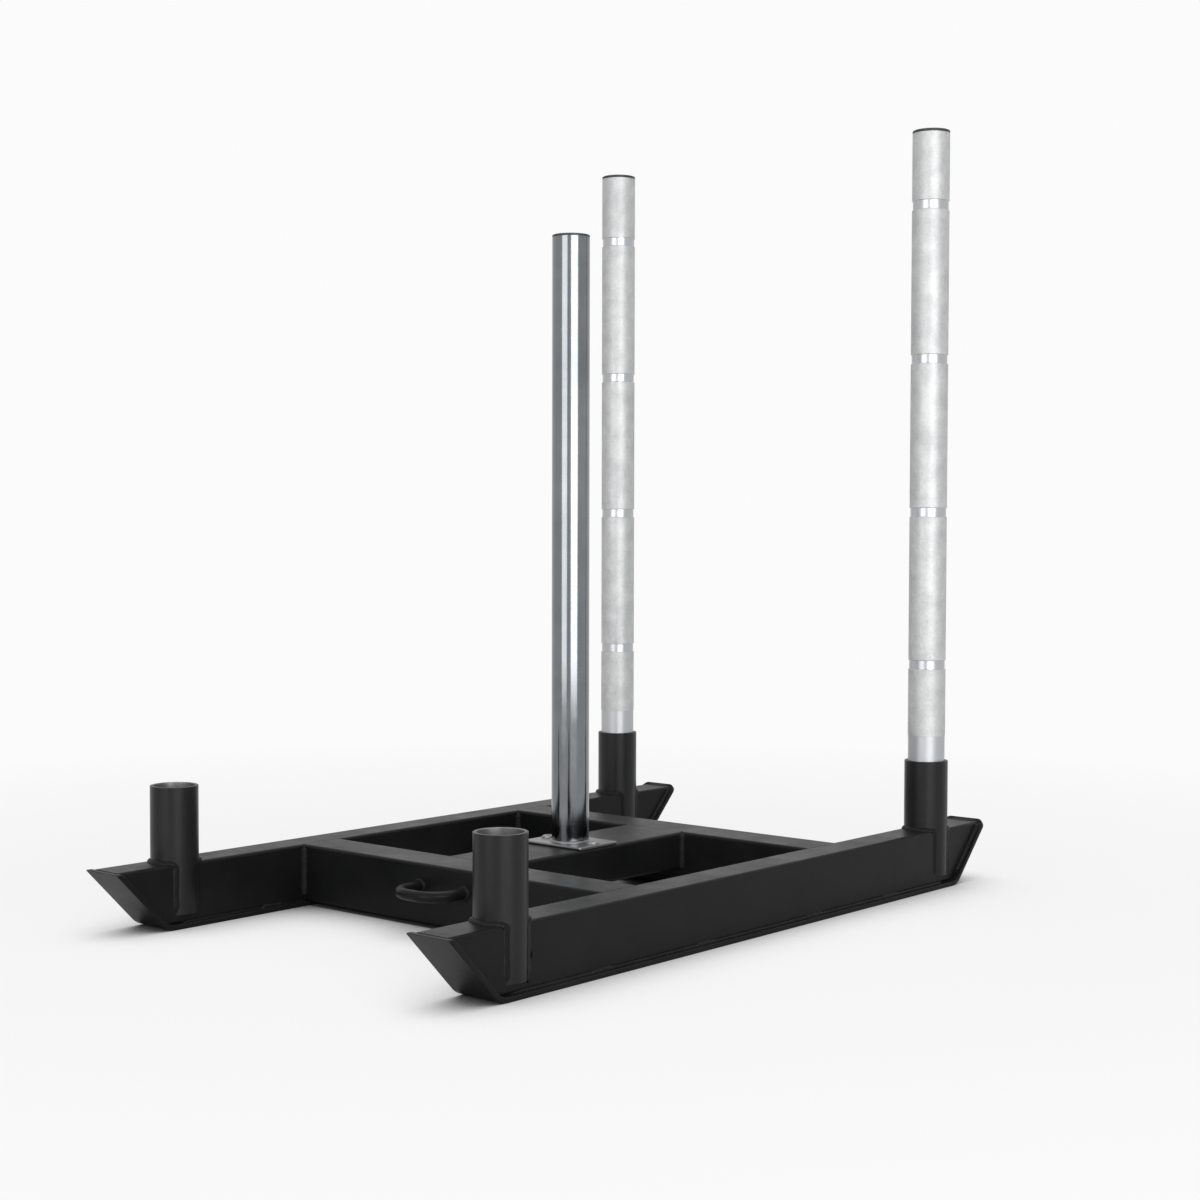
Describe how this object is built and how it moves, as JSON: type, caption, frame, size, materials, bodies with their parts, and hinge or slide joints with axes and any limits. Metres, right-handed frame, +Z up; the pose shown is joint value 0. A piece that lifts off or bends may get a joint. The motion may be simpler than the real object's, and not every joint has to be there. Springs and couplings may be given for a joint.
{
  "type": "push sled",
  "caption": "Push sled with two flat skid runners, cross members, a spine with an upright weight post, corner sleeves, lift-out push poles and a tow loop.",
  "frame": {"origin": "middle of the sled's footprint, on the floor under the skid plates", "axes": "+Z up, -Y towards the tow loop and the empty sleeves (the front), +Y towards the push poles (the rear), +X towards the runner that is nearer the viewer in the picture"},
  "size_m": [0.633, 1.086, 1.052],
  "materials": {
    "powder_coat": "satin black powder coat",
    "bright_chrome": "bright plated",
    "galvanised_steel": "galvanised, pale mottled grey",
    "cap_plastic": "matt black",
    "fastener_steel": "bright zinc"
  },
  "bodies": {
    "sled_frame": {"right_runner": "powder_coat", "left_runner": "powder_coat", "right_skid": "powder_coat", "left_skid": "powder_coat", "front_cross_tube": "powder_coat", "rear_cross_tube": "powder_coat", "spine_tube": "powder_coat", "front_right_sleeve": "powder_coat", "front_left_sleeve": "powder_coat", "rear_right_sleeve": "powder_coat", "rear_left_sleeve": "powder_coat", "tow_loop": "powder_coat", "post_base_plate": "bright_chrome", "weight_post": "bright_chrome", "post_cap": "cap_plastic", "post_weld": "bright_chrome", "base_bolts": "fastener_steel", "base_washers": "fastener_steel", "base_nuts": "fastener_steel", "sleeve_welds": "powder_coat", "corner_welds": "powder_coat", "stitch_welds": "powder_coat", "nose_welds": "powder_coat", "loop_welds": "powder_coat"},
    "right_push_pole": {"right_pole": "galvanised_steel", "right_pole_cap": "cap_plastic"},
    "left_push_pole": {"left_pole": "galvanised_steel", "left_pole_cap": "cap_plastic"}
  },
  "joints": [
    {"name": "right_pole_lift", "type": "slide", "parent": "sled_frame", "child": "right_push_pole", "axis": [0, 0, 1], "range_m": [0, 0.2]},
    {"name": "left_pole_lift", "type": "slide", "parent": "sled_frame", "child": "left_push_pole", "axis": [0, 0, 1], "range_m": [0, 0.2]}
  ]
}
